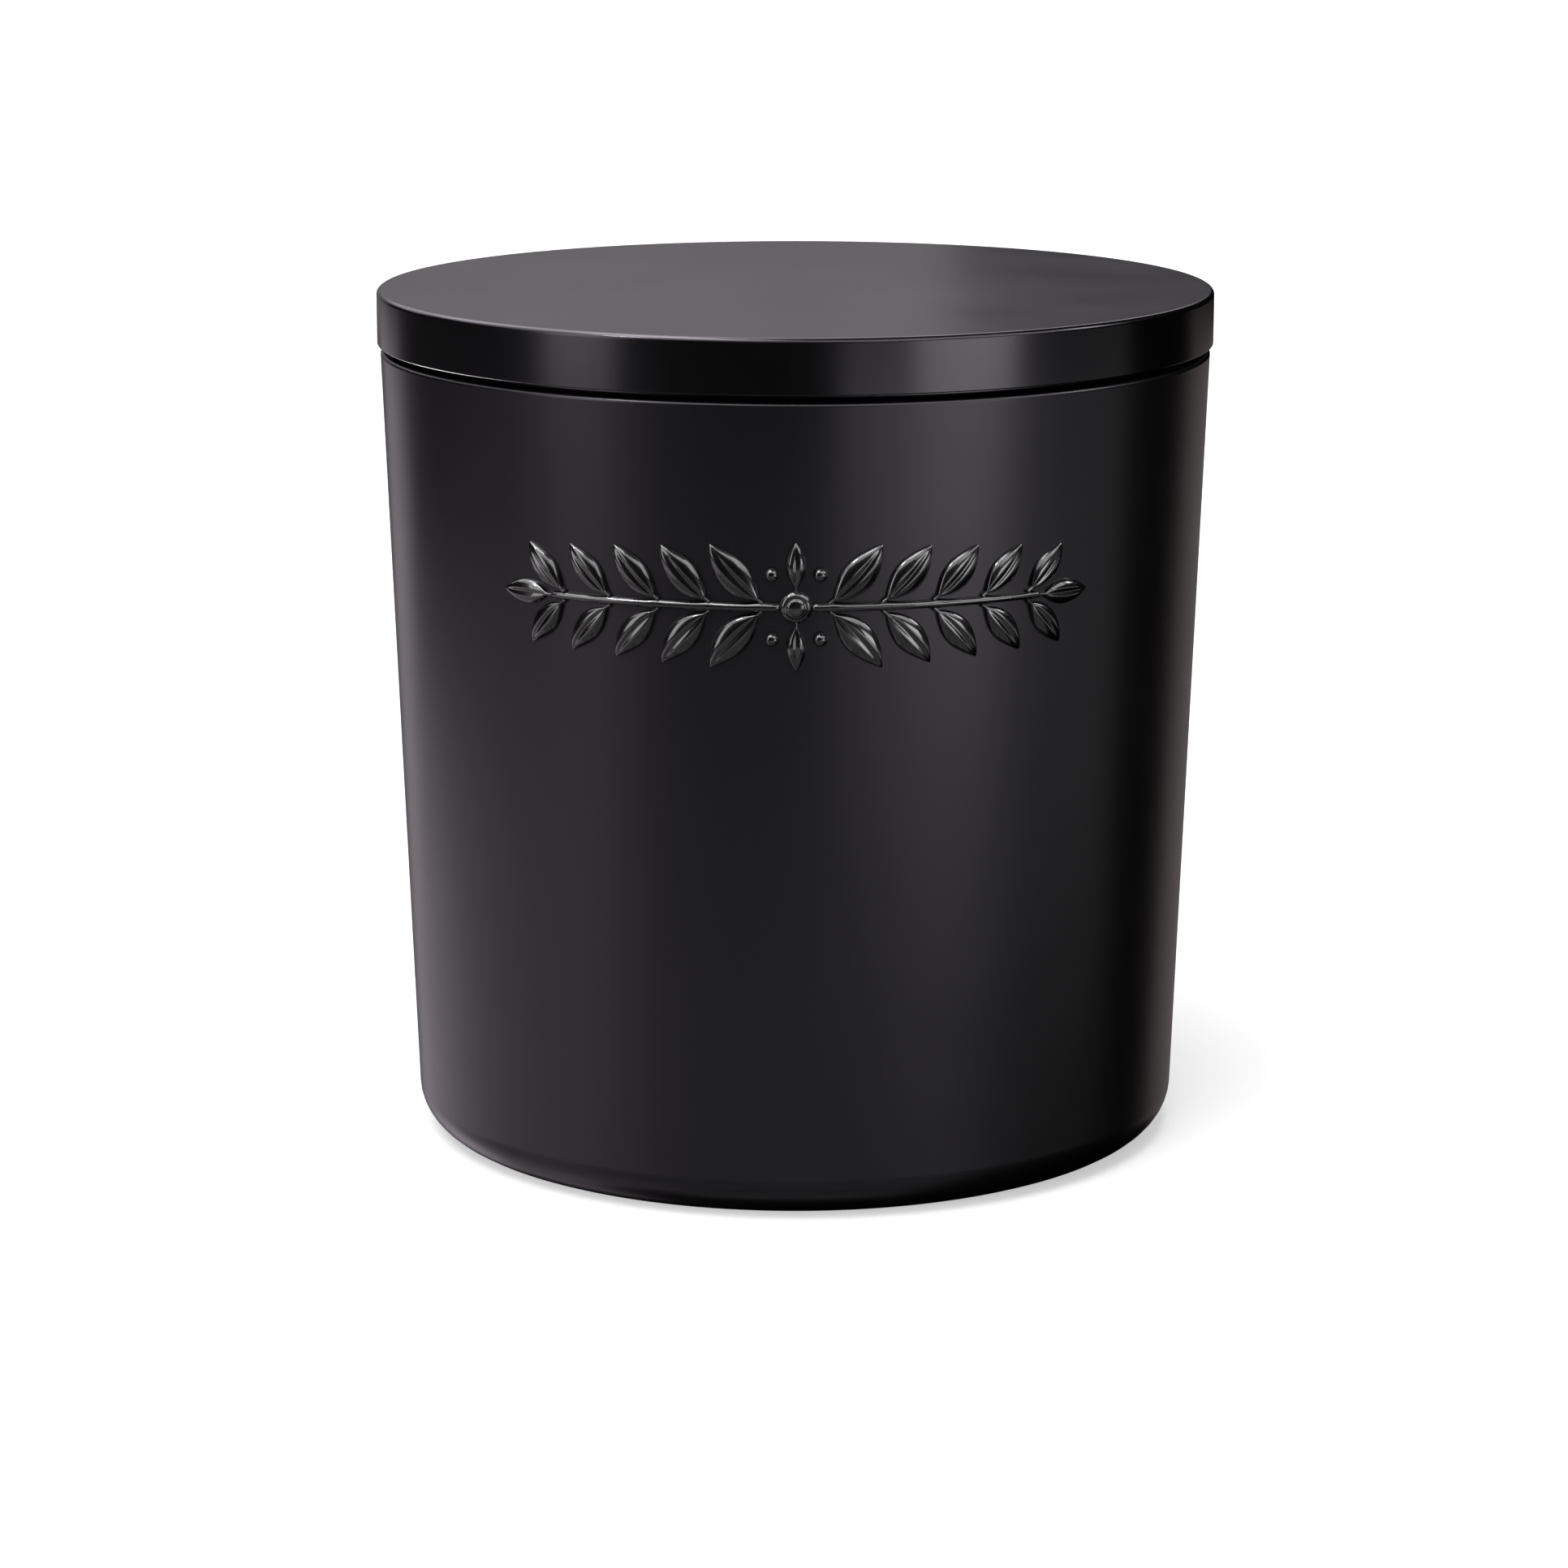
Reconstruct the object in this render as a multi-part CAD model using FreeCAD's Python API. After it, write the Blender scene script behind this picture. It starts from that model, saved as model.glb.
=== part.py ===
"""A matt black candle tin with a slip lid, two wicks and a raised gloss sprig on its front.

Frame, in millimetres: the origin is the centre of the ring that the tin stands on, +Z is up,
and the raised sprig faces -Y. Every profile of revolution is drawn as (radius, height).
"""

import FreeCAD
import Part

import math
import os

Vector = FreeCAD.Vector
UP = Vector(0, 0, 1)
ORIGIN = Vector(0, 0, 0)

# Outside of the closed tin
OVERALL_HEIGHT = 92.2
LID_RADIUS = 45.0
LID_SKIRT_HEIGHT = 5.72
SHADOW_GAP = 0.76
SHOULDER_RADIUS = 44.67
WALL_DRAFT_DEG = 2.086
FOOT_FILLET = 4.68

# Sheet metal
SHEET = 0.5
LID_TOP_FILLET = 0.5
SHOULDER_FILLET = 0.55
NECK_FILLET = 0.5
RIM_CURL_RADIUS = 0.8
LID_CLEARANCE = 0.15

# Base: a raised panel inside the standing ring
PANEL_HEIGHT = 1.2
PANEL_RADIUS = 32.6
RING_INNER_RADIUS = 34.0
PANEL_FILLET = 0.9
LABEL_RADIUS = 28.0
LABEL_THICKNESS = 0.15

# Lid liner, a foam disc that closes on the rim
LINER_THICKNESS = 0.8
LINER_RADIUS = 44.3
LINER_REST_GAP = 0.04

# Wax
WAX_LEVEL = 75.5
MENISCUS_RISE = 0.9
MENISCUS_REACH = 2.2

# Wicks, each crimped in a clip that stands on an adhesive pad
WICK_OFFSET = 19.0
WICK_RADIUS = 1.25
WICK_STAND = 6.5
PAD_RADIUS = 9.0
PAD_THICKNESS = 0.8
CLIP_RADIUS = 10.0
CLIP_SHEET = 0.3
CLIP_COLLAR_RADIUS = 1.7
CLIP_COLLAR_HEIGHT = 6.0
CLIP_COLLAR_FLARE = 0.8

# Raised sprig
RELIEF_CENTRE = 65.1
RELIEF_RISE = 0.85
RELIEF_BAND = 8.0
STEM_HALF_HEIGHT = 0.5
STEM_HALF_SPAN_DEG = 34.2
LEAF_PAIRS = 5
LEAF_FIRST_DEG = 4.9
LEAF_PITCH_DEG = 6.9
LEAF_TILT_DEG = 48.0
LEAF_LENGTH = 7.4
LEAF_END_SHRINK = 0.2
LEAF_WIDTH_RATIO = 0.45
PLUME_LENGTH = 4.6
STEM_GAP = 0.35
BUD_RADIUS = 1.7
BERRY_RADIUS = 0.75
BERRY_SIDEWAYS = 2.45
BERRY_LIFT = 3.3

# Worked out from the dimensions above
LID_EDGE = OVERALL_HEIGHT - LID_SKIRT_HEIGHT
SHOULDER_HEIGHT = LID_EDGE - SHADOW_GAP
WALL_SLOPE = math.tan(math.radians(WALL_DRAFT_DEG))
FOOT_RADIUS = SHOULDER_RADIUS - WALL_SLOPE * SHOULDER_HEIGHT
LINER_TOP = OVERALL_HEIGHT - SHEET
RIM_TOP = LINER_TOP - LINER_THICKNESS - LINER_REST_GAP
CURL_BEND = RIM_CURL_RADIUS - SHEET
NECK_RADIUS = LID_RADIUS - SHEET - LID_CLEARANCE - RIM_CURL_RADIUS - CURL_BEND
PANEL_TOP = PANEL_HEIGHT + SHEET
CLIP_BASE = PANEL_TOP + PAD_THICKNESS


def wall_radius(height):
    """Outer radius of the tapered wall."""
    return FOOT_RADIUS + WALL_SLOPE * height


# ---- outlines ----------------------------------------------------------------------------


def turn_at(before, corner, after):
    """Directions in and out of a corner, and the angle turned there, positive to the left."""
    ahead = (corner - before).normalize()
    away = (after - corner).normalize()
    turned = math.atan2(ahead.cross(away).z, ahead.dot(away))
    return ahead, away, turned


def rounded_path(corners):
    """Line and arc edges through corners of (x, y, fillet radius), in the XY plane."""
    points = [Vector(x, y, 0) for x, y, _ in corners]
    edges = []
    here = points[0]
    for i in range(1, len(corners) - 1):
        fillet = corners[i][2]
        if fillet <= 0:
            edges.append(Part.makeLine(here, points[i]))
            here = points[i]
            continue
        ahead, away, turned = turn_at(points[i - 1], points[i], points[i + 1])
        reach = fillet * math.tan(abs(turned) / 2)
        start = points[i] - ahead * reach
        end = points[i] + away * reach
        inward = (away - ahead).normalize()
        middle = points[i] + inward * (fillet / math.cos(turned / 2) - fillet)
        if (start - here).Length > 1e-6:
            edges.append(Part.makeLine(here, start))
        edges.append(Part.Arc(start, middle, end).toShape())
        here = end
    if (points[-1] - here).Length > 1e-6:
        edges.append(Part.makeLine(here, points[-1]))
    return edges


def shifted(corners, distance):
    """The path moved sideways by distance, to the left where that is positive."""
    points = [Vector(x, y, 0) for x, y, _ in corners]
    moved = []
    for i, (_, _, fillet) in enumerate(corners):
        if i == 0 or i == len(corners) - 1:
            first, second = (points[0], points[1]) if i == 0 else (points[-2], points[-1])
            along = (second - first).normalize()
            spot = points[i] + Vector(-along.y, along.x, 0) * distance
            moved.append((spot.x, spot.y, 0))
            continue
        ahead, _, turned = turn_at(points[i - 1], points[i], points[i + 1])
        left = Vector(-ahead.y, ahead.x, 0)
        spot = points[i] + (left - ahead * math.tan(turned / 2)) * distance
        new_fillet = max(0.0, fillet - math.copysign(1, turned) * distance)
        moved.append((spot.x, spot.y, new_fillet))
    return moved


def flat_face(edges):
    """A face in the XZ plane from edges drawn in the XY plane."""
    face = Part.Face(Part.Wire(Part.__sortEdges__(edges)))
    face.rotate(ORIGIN, Vector(1, 0, 0), 90)
    return face


def spun(edges):
    """The solid that a closed outline of (radius, height) sweeps around Z."""
    return flat_face(edges).revolve(ORIGIN, UP, 360)


def sheet_section(corners, distance, rounded_edge=False):
    """Closed outline of sheet metal between a path and the same path moved sideways.

    The far edge is cut square, or fully rounded.
    """
    near = rounded_path(corners)
    far = rounded_path(shifted(corners, distance))
    near_end = near[-1].Vertexes[-1].Point
    far_end = far[-1].Vertexes[-1].Point
    caps = [Part.makeLine(near[0].Vertexes[0].Point, far[0].Vertexes[0].Point)]
    if rounded_edge:
        along = (near[-1].Vertexes[-1].Point - near[-1].Vertexes[0].Point).normalize()
        crown = (near_end + far_end) / 2 + along * abs(distance) / 2
        caps.append(Part.Arc(near_end, crown, far_end).toShape())
    else:
        caps.append(Part.makeLine(near_end, far_end))
    return near + far + caps


def box_outline(low, high):
    """Closed rectangle of (radius, height) from its low corner to its high corner."""
    corners = [
        Vector(low[0], low[1], 0),
        Vector(high[0], low[1], 0),
        Vector(high[0], high[1], 0),
        Vector(low[0], high[1], 0),
    ]
    return [Part.makeLine(corners[i], corners[(i + 1) % 4]) for i in range(4)]


# ---- tin ---------------------------------------------------------------------------------


def base_and_wall():
    """Corners of the outer surface, from the axis under the panel to the shoulder."""
    return [
        (0, PANEL_HEIGHT, 0),
        (PANEL_RADIUS, PANEL_HEIGHT, PANEL_FILLET),
        (RING_INNER_RADIUS, 0, PANEL_FILLET),
        (FOOT_RADIUS, 0, FOOT_FILLET),
        (SHOULDER_RADIUS, SHOULDER_HEIGHT, SHOULDER_FILLET),
    ]


def tin_shell():
    """One drawn cup: base panel, standing ring, tapered wall, shoulder, neck and curled rim."""
    curl_axis = RIM_TOP - RIM_CURL_RADIUS
    curl_far = NECK_RADIUS + 2 * CURL_BEND
    corners = base_and_wall() + [
        (NECK_RADIUS, SHOULDER_HEIGHT, NECK_FILLET),
        (NECK_RADIUS, curl_axis + CURL_BEND, CURL_BEND),
        (curl_far, curl_axis + CURL_BEND, CURL_BEND),
        (curl_far, curl_axis - CURL_BEND, CURL_BEND),
        (NECK_RADIUS + CURL_BEND, curl_axis - CURL_BEND, 0),
    ]
    return spun(sheet_section(corners, SHEET))


def base_label():
    """Plain paper disc stuck in the recess under the base."""
    return Part.makeCylinder(
        LABEL_RADIUS, LABEL_THICKNESS, Vector(0, 0, PANEL_HEIGHT - LABEL_THICKNESS)
    )


def lid_shell():
    """Flat top with a straight skirt that ends in a rounded edge."""
    corners = [
        (0, OVERALL_HEIGHT, 0),
        (LID_RADIUS, OVERALL_HEIGHT, LID_TOP_FILLET),
        (LID_RADIUS, LID_EDGE + SHEET / 2, 0),
    ]
    return spun(sheet_section(corners, -SHEET, rounded_edge=True))


def lid_liner():
    """Foam disc glued inside the lid."""
    return Part.makeCylinder(
        LINER_RADIUS, LINER_THICKNESS, Vector(0, 0, LINER_TOP - LINER_THICKNESS)
    )


# ---- candle ------------------------------------------------------------------------------


def wick(x):
    """Cotton wick from the foot of its clip to above the wax, with a rounded tip."""
    length = WAX_LEVEL + WICK_STAND - CLIP_BASE
    stick = Part.makeCylinder(WICK_RADIUS, length, Vector(x, 0, CLIP_BASE))
    tip = max(stick.Edges, key=lambda edge: edge.CenterOfMass.z)
    return stick.makeFillet(WICK_RADIUS * 0.6, [tip])


def wick_clip(x):
    """Stamped disc with a collar crimped on the wick."""
    flare_top = CLIP_BASE + CLIP_SHEET + CLIP_COLLAR_FLARE
    corners = [
        (0, CLIP_BASE, 0),
        (CLIP_RADIUS, CLIP_BASE, 0),
        (CLIP_RADIUS, CLIP_BASE + CLIP_SHEET, 0),
        (CLIP_COLLAR_RADIUS + CLIP_COLLAR_FLARE, CLIP_BASE + CLIP_SHEET, 0),
        (CLIP_COLLAR_RADIUS, flare_top, 0),
        (CLIP_COLLAR_RADIUS, CLIP_BASE + CLIP_COLLAR_HEIGHT, 0),
        (0, CLIP_BASE + CLIP_COLLAR_HEIGHT, 0),
        (0, CLIP_BASE, 0),
    ]
    clip = spun(rounded_path(corners))
    clip.translate(Vector(x, 0, 0))
    bore = Part.makeCylinder(
        WICK_RADIUS, CLIP_COLLAR_HEIGHT, Vector(x, 0, CLIP_BASE)
    )
    return clip.cut(bore)


def wick_pad(x):
    """Foam adhesive disc under a clip."""
    return Part.makeCylinder(PAD_RADIUS, PAD_THICKNESS, Vector(x, 0, PANEL_TOP))


def wax_fill(inserts):
    """Wax that fills the tin around its inserts and climbs a little up the wall."""
    lining = shifted(base_and_wall(), SHEET)[:-1]
    wall_inset = SHEET / math.cos(math.radians(WALL_DRAFT_DEG))
    crest_height = WAX_LEVEL + MENISCUS_RISE
    crest_radius = wall_radius(crest_height) - wall_inset
    crest = Vector(crest_radius, crest_height, 0)
    calm = Vector(crest_radius - MENISCUS_REACH, WAX_LEVEL, 0)
    middle = Vector(0, WAX_LEVEL, 0)
    bend = (MENISCUS_REACH ** 2 + MENISCUS_RISE ** 2) / (2 * MENISCUS_RISE)
    half_turn = math.asin(MENISCUS_REACH / bend) / 2
    on_arc = Vector(bend * math.sin(half_turn), bend * (1 - math.cos(half_turn)), 0)
    edges = rounded_path(lining + [(crest.x, crest.y, 0)])
    edges.append(Part.Arc(crest, calm + on_arc, calm).toShape())
    edges.append(Part.makeLine(calm, middle))
    edges.append(Part.makeLine(middle, edges[0].Vertexes[0].Point))
    return spun(edges).cut(inserts)


# ---- raised sprig ------------------------------------------------------------------------


def relief_skin():
    """The layer on the wall, RELIEF_RISE thick, that every raised piece is cut from."""
    low = RELIEF_CENTRE - RELIEF_BAND
    high = RELIEF_CENTRE + RELIEF_BAND
    corners = [
        (wall_radius(low), low, 0),
        (wall_radius(low) + RELIEF_RISE, low, 0),
        (wall_radius(high) + RELIEF_RISE, high, 0),
        (wall_radius(high), high, 0),
        (wall_radius(low), low, 0),
    ]
    return spun(rounded_path(corners))


def stood_on_wall(outline, azimuth_deg):
    """The raised piece with this outline, drawn as (sideways, height) and turned to azimuth.

    Azimuth 0 is the front of the tin, and it grows towards +X.
    """
    block = flat_face(outline).extrude(Vector(0, -2 * LID_RADIUS, 0))
    block.rotate(ORIGIN, UP, azimuth_deg)
    return block.common(relief_skin()).Solids[0]


def leaf(azimuth_deg, lift, tilt_deg, length):
    """Pointed leaf whose foot is beside the stem at that azimuth."""
    root = Vector(0, RELIEF_CENTRE + lift, 0)
    along = Vector(math.cos(math.radians(tilt_deg)), math.sin(math.radians(tilt_deg)), 0)
    across = Vector(-along.y, along.x, 0)
    tip = root + along * length
    bulge = across * (LEAF_WIDTH_RATIO * length / 2)
    middle = root + along * (length / 2)
    outline = [
        Part.Arc(root, middle + bulge, tip).toShape(),
        Part.Arc(tip, middle - bulge, root).toShape(),
    ]
    return stood_on_wall(outline, azimuth_deg)


def relief_leaves():
    """Pairs of leaves along both stems, a leaf at each end and two plumes in the middle."""
    lift = STEM_HALF_HEIGHT + STEM_GAP
    end_azimuth = STEM_HALF_SPAN_DEG + math.degrees(STEM_GAP / wall_radius(RELIEF_CENTRE))
    leaves = []
    for side in (1, -1):
        out_tilt = 90 - side * (90 - LEAF_TILT_DEG)
        for pair in range(LEAF_PAIRS):
            azimuth = LEAF_FIRST_DEG + LEAF_PITCH_DEG * pair
            length = LEAF_LENGTH * (1 - LEAF_END_SHRINK * pair / (LEAF_PAIRS - 1))
            for above in (1, -1):
                leaves.append(leaf(side * azimuth, above * lift, above * out_tilt, length))
        end_length = LEAF_LENGTH * (1 - LEAF_END_SHRINK)
        leaves.append(leaf(side * end_azimuth, 0, 90 - side * 90, end_length))
        leaves.append(leaf(0, side * (BUD_RADIUS + STEM_GAP), side * 90, PLUME_LENGTH))
    return Part.makeCompound(leaves)


def relief_stems():
    """Two straight runs of stem, one each side of the middle bud."""
    inner = wall_radius(RELIEF_CENTRE) * 0.9
    low = RELIEF_CENTRE - STEM_HALF_HEIGHT
    high = RELIEF_CENTRE + STEM_HALF_HEIGHT
    start_azimuth = math.degrees((BUD_RADIUS + STEM_GAP) / wall_radius(RELIEF_CENTRE))
    stems = []
    for side in (1, -1):
        face = flat_face(box_outline((inner, low), (LID_RADIUS, high)))
        face.rotate(ORIGIN, UP, -90 + side * start_azimuth)
        bar = face.revolve(ORIGIN, UP, side * (STEM_HALF_SPAN_DEG - start_azimuth))
        stems.append(bar.common(relief_skin()).Solids[0])
    return Part.makeCompound(stems)


def relief_berries():
    """The round bud in the middle of the sprig and four berries around it."""
    spots = [(0, 0, BUD_RADIUS)]
    for side in (1, -1):
        for above in (1, -1):
            spots.append((side * BERRY_SIDEWAYS, above * BERRY_LIFT, BERRY_RADIUS))
    berries = []
    for sideways, lift, radius in spots:
        ring = Part.makeCircle(radius, Vector(sideways, RELIEF_CENTRE + lift, 0))
        berries.append(stood_on_wall([ring], 0))
    return Part.makeCompound(berries)


# ---- export ------------------------------------------------------------------------------


def build():
    """Every node by name."""
    nodes = {
        "tin_shell": tin_shell(),
        "base_label": base_label(),
        "lid_shell": lid_shell(),
        "lid_liner": lid_liner(),
        "relief_leaves": relief_leaves(),
        "relief_stems": relief_stems(),
        "relief_berries": relief_berries(),
    }
    inserts = {}
    for side, x in (("left", -WICK_OFFSET), ("right", WICK_OFFSET)):
        inserts["wick_" + side] = wick(x)
        inserts["wick_clip_" + side] = wick_clip(x)
        inserts["wick_pad_" + side] = wick_pad(x)
    nodes.update(inserts)
    nodes["wax_fill"] = wax_fill(list(inserts.values()))
    return nodes


def main():
    os.makedirs("parts", exist_ok=True)
    for name, shape in sorted(build().items()):
        box = shape.BoundBox
        print(
            f"{name:18s} solids {len(shape.Solids):3d} valid {shape.isValid()} "
            f"volume {shape.Volume:10.2f} z {box.ZMin:7.2f} to {box.ZMax:7.2f}"
        )
        shape.exportStep(os.path.join("parts", name + ".step"))


main()
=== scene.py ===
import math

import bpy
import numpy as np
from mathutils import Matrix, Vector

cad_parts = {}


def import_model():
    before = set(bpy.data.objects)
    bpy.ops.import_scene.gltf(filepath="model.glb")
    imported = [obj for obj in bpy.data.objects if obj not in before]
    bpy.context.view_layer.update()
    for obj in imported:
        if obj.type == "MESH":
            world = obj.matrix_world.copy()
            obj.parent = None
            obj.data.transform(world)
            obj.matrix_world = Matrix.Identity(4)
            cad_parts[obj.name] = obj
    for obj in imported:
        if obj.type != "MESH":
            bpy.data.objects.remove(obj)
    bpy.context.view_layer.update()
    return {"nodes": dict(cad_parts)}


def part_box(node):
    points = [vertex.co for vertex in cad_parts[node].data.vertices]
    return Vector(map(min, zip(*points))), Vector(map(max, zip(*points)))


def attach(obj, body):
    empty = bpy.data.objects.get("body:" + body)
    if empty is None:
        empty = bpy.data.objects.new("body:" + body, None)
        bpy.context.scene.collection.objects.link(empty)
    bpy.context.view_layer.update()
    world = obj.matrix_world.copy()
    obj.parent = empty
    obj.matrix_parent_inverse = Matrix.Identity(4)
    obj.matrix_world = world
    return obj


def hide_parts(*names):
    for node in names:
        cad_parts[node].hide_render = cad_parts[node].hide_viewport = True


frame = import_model()

# The looks of a satin black candle tin: turned metal shells, a raised gloss sprig, wax and wicks.
# Sizes here are millimetres, and MM turns them into Blender's metres. The frame gives every
# place and overall size; the constants below give only what a box can't, such as edge radii.

MM = 0.001


def millimetres(node):
    """Lowest and highest corner of a CAD node, in millimetres."""
    low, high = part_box(node)
    return low / MM, high / MM


# ---- sizes -------------------------------------------------------------------------------

SHEET = 0.5
LID_TOP_FILLET = 0.5
LID_EDGE_ROUND = 0.12
SHOULDER_FILLET = 0.4
NECK_FILLET = 0.5
FOOT_FILLET = 4.68
PANEL_FILLET = 0.9
RIM_CURL_RADIUS = 0.8
WALL_DRAFT = math.radians(2.086)
SHADOW_GAP = 0.76
SHOULDER_RADIUS = 44.67
LID_CLEARANCE = 0.15
PANEL_HEIGHT = 1.2
PANEL_RADIUS = 32.6
RING_INNER_RADIUS = 34.0

TURNS = 384
ARC_STEPS = 10

MENISCUS_RISE = 0.9
MENISCUS_REACH = 2.2
WICK_STAND = 6.5

LID_LOW, LID_HIGH = millimetres("lid_shell")
LINER_LOW, LINER_HIGH = millimetres("lid_liner")
STEM_LOW, STEM_HIGH = millimetres("relief_stems")

LID_RADIUS = LID_HIGH.x
TOP = LID_HIGH.z
LID_EDGE = LID_LOW.z
SHOULDER_HEIGHT = LID_EDGE - SHADOW_GAP
WALL_SLOPE = math.tan(WALL_DRAFT)
FOOT_RADIUS = SHOULDER_RADIUS - WALL_SLOPE * SHOULDER_HEIGHT
RIM_TOP = millimetres("tin_shell")[1].z
CURL_BEND = RIM_CURL_RADIUS - SHEET
NECK_RADIUS = LID_RADIUS - SHEET - LID_CLEARANCE - RIM_CURL_RADIUS - CURL_BEND
WAX_LEVEL = millimetres("wick_left")[1].z - WICK_STAND


def wall_radius(height):
    """Outer radius of the tapered wall at a height, both in millimetres."""
    return FOOT_RADIUS + WALL_SLOPE * height


# ---- material helpers --------------------------------------------------------------------


class Shader:
    """A node material with one Principled BSDF, and short calls for the nodes around it."""

    def __init__(self, name, color, roughness, metallic=0.0, specular=0.5):
        self.material = bpy.data.materials.new(name)
        self.material.use_nodes = True
        self.tree = self.material.node_tree
        self.bsdf = self.tree.nodes["Principled BSDF"]
        self.set("Base Color", (*color, 1))
        self.set("Roughness", roughness)
        self.set("Metallic", metallic)
        self.set("Specular IOR Level", specular)
        self.place = self.add("ShaderNodeTexCoord").outputs["Object"]

    def set(self, socket, value):
        self.bsdf.inputs[socket].default_value = value

    def add(self, kind, links=None, values=None, **properties):
        """A node of this kind, with its properties, values and incoming links set."""
        node = self.tree.nodes.new(kind)
        for name, value in properties.items():
            setattr(node, name, value)
        for name, value in (values or {}).items():
            node.inputs[name].default_value = value
        for name, output in (links or {}).items():
            self.tree.links.new(output, node.inputs[name])
        return node

    def join(self, output, socket):
        self.tree.links.new(output, self.bsdf.inputs[socket])

    def noise(self, size, detail=4.0, roughness=0.55, stretch=(1, 1, 1)):
        """Noise whose features are about size millimetres, stretched along an axis if asked."""
        scaled = self.add(
            "ShaderNodeMapping", {"Vector": self.place}, {"Scale": tuple(1 / s for s in stretch)}
        )
        node = self.add(
            "ShaderNodeTexNoise",
            {"Vector": scaled.outputs["Vector"]},
            {"Scale": 1 / (size * MM), "Detail": detail, "Roughness": roughness},
        )
        return node.outputs["Fac"]

    def remap(self, value, low, high, from_low=0.0, from_high=1.0):
        node = self.add(
            "ShaderNodeMapRange",
            {"Value": value},
            {"From Min": from_low, "From Max": from_high, "To Min": low, "To Max": high},
        )
        return node.outputs["Result"]

    def ramp(self, value, *stops):
        """Colours at positions, as (position, (r, g, b)) pairs."""
        node = self.add("ShaderNodeValToRGB", {"Fac": value})
        elements = node.color_ramp.elements
        while len(elements) < len(stops):
            elements.new(0.5)
        for element, (position, color) in zip(elements, stops):
            element.position = position
            element.color = (*color, 1)
        return node.outputs["Color"]

    def bump(self, height, depth, after=None):
        """Bumps that are depth millimetres high, on top of the bumps given as after."""
        links = {"Height": height}
        if after is not None:
            links["Normal"] = after
        node = self.add("ShaderNodeBump", links, {"Strength": 1.0, "Distance": depth * MM})
        return node.outputs["Normal"]


def turned_grooves(shader, pitch, wobble):
    """Fine rings around Z, as the tool leaves on turned metal: noise of radius and height only."""
    split = shader.add("ShaderNodeSeparateXYZ", {"Vector": shader.place})
    flat = shader.add(
        "ShaderNodeCombineXYZ", {"X": split.outputs["X"], "Y": split.outputs["Y"]}
    )
    radius = shader.add(
        "ShaderNodeVectorMath", {0: flat.outputs["Vector"]}, operation="LENGTH"
    ).outputs["Value"]
    rings = shader.add("ShaderNodeCombineXYZ", {"X": radius, "Y": split.outputs["Z"]})
    drift = shader.noise(wobble, detail=1.0)
    drifted = shader.add("ShaderNodeVectorMath", {0: rings.outputs["Vector"]}, operation="ADD")
    shader.tree.links.new(
        shader.remap(drift, -0.25 * pitch * MM, 0.25 * pitch * MM), drifted.inputs[1]
    )
    node = shader.add(
        "ShaderNodeTexNoise",
        {"Vector": drifted.outputs["Vector"]},
        {"Scale": 1 / (pitch * MM), "Detail": 2.0, "Roughness": 0.6},
    )
    return node.outputs["Fac"]


# ---- materials ---------------------------------------------------------------------------


def satin_black_coat(name, roughness, ring_depth):
    """Baked coating on turned metal: faint rings, fine grain, slightly uneven sheen."""
    s = Shader(name, (0.0030, 0.0028, 0.0032), roughness)
    s.set("Specular Tint", (0.97, 0.90, 1.0, 1))
    patches = s.noise(16, detail=3)
    grain = s.noise(0.12, detail=2)
    rings = turned_grooves(s, 0.35, 40)
    tones = s.ramp(patches, (0.3, (0.0024, 0.0023, 0.0026)), (0.75, (0.0036, 0.0034, 0.0039)))
    s.join(tones, "Base Color")
    s.join(s.remap(patches, roughness - 0.03, roughness + 0.03), "Roughness")
    bumps = s.bump(grain, 0.0012)
    bumps = s.bump(rings, ring_depth, bumps)
    s.join(bumps, "Normal")
    return s.material


def gloss_black_enamel():
    """Thick poured enamel: nearly black, glassy, with slow waves from its own flow."""
    s = Shader("gloss_black_enamel", (0.0020, 0.0020, 0.0022), 0.26)
    s.set("Coat Weight", 1.0)
    s.set("Coat Roughness", 0.03)
    s.set("Coat IOR", 1.6)
    flow = s.noise(1.6, detail=2)
    s.join(s.remap(flow, 0.22, 0.32), "Roughness")
    s.join(s.bump(flow, 0.006), "Normal")
    return s.material


def bare_metal():
    """Satin aluminium inside the tin, with draw marks up the wall and a clear lacquer."""
    s = Shader("bare_metal", (0.74, 0.74, 0.75), 0.3, metallic=1.0)
    draw_marks = s.noise(0.25, detail=3, stretch=(1, 1, 30))
    clouds = s.noise(9, detail=3)
    s.join(s.remap(draw_marks, 0.24, 0.40), "Roughness")
    s.join(s.ramp(clouds, (0.3, (0.68, 0.68, 0.69)), (0.7, (0.78, 0.78, 0.79))), "Base Color")
    s.join(s.bump(draw_marks, 0.002), "Normal")
    return s.material


def candle_wax():
    """Creamy soy wax: soft translucence, pale frosting blooms and a barely pitted top."""
    s = Shader("candle_wax", (0.86, 0.80, 0.68), 0.42)
    s.set("Subsurface Weight", 0.35)
    s.set("Subsurface Radius", (1.0, 0.7, 0.4))
    s.set("Subsurface Scale", 3 * MM)
    frost = s.noise(7, detail=6, roughness=0.65)
    pits = s.noise(0.5, detail=3)
    s.join(s.ramp(frost, (0.35, (0.85, 0.79, 0.67)), (0.7, (0.92, 0.89, 0.82))), "Base Color")
    s.join(s.remap(frost, 0.36, 0.56), "Roughness")
    s.join(s.bump(pits, 0.012), "Normal")
    return s.material


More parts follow.
